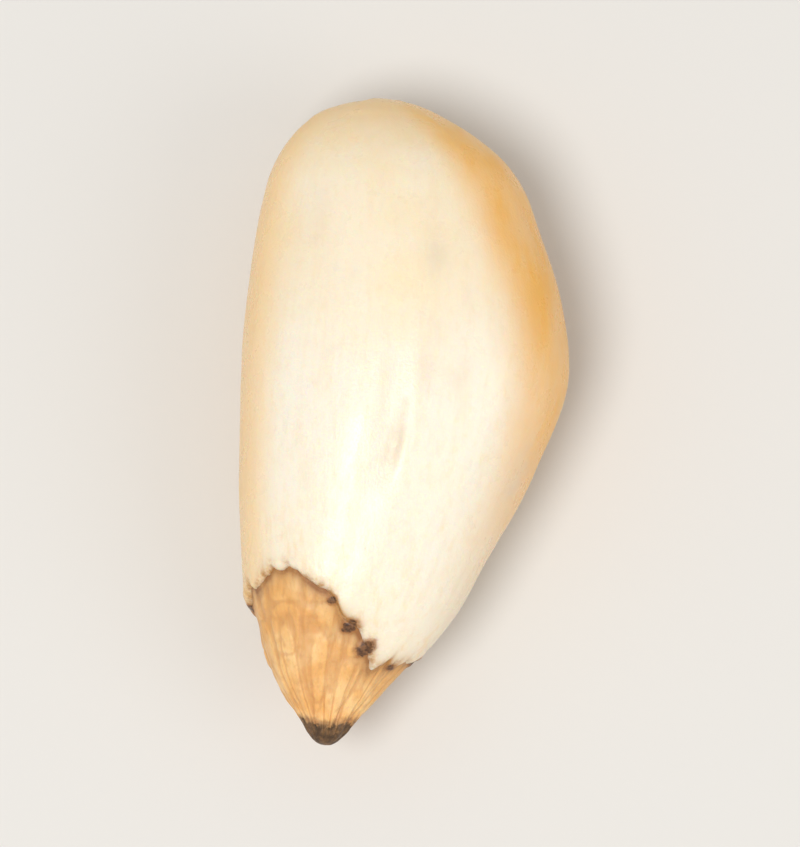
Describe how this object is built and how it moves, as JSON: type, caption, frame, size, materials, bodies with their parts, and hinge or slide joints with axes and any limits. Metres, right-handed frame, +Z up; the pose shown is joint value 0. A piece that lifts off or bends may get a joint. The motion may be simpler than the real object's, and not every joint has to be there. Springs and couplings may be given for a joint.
{
  "type": "pine nut",
  "caption": "Shelled pine nut: an ivory teardrop kernel with a torn papery brown cap and dark point at its tip, lying on its side.",
  "frame": {"origin": "middle of the small flat spot that the nut rests on, under its centre of mass", "axes": "+Y along the nut towards its blunt end, with the pointed tip at -Y; +Z up from the surface that it rests on"},
  "size_m": [0.0067, 0.0135, 0.0055],
  "materials": {
    "ivory_kernel": "satin, slightly oily",
    "brown_cap": "papery, semi-matte"
  },
  "bodies": {
    "root": {"kernel": "ivory_kernel", "tip_cap": "brown_cap"}
  },
  "joints": []
}
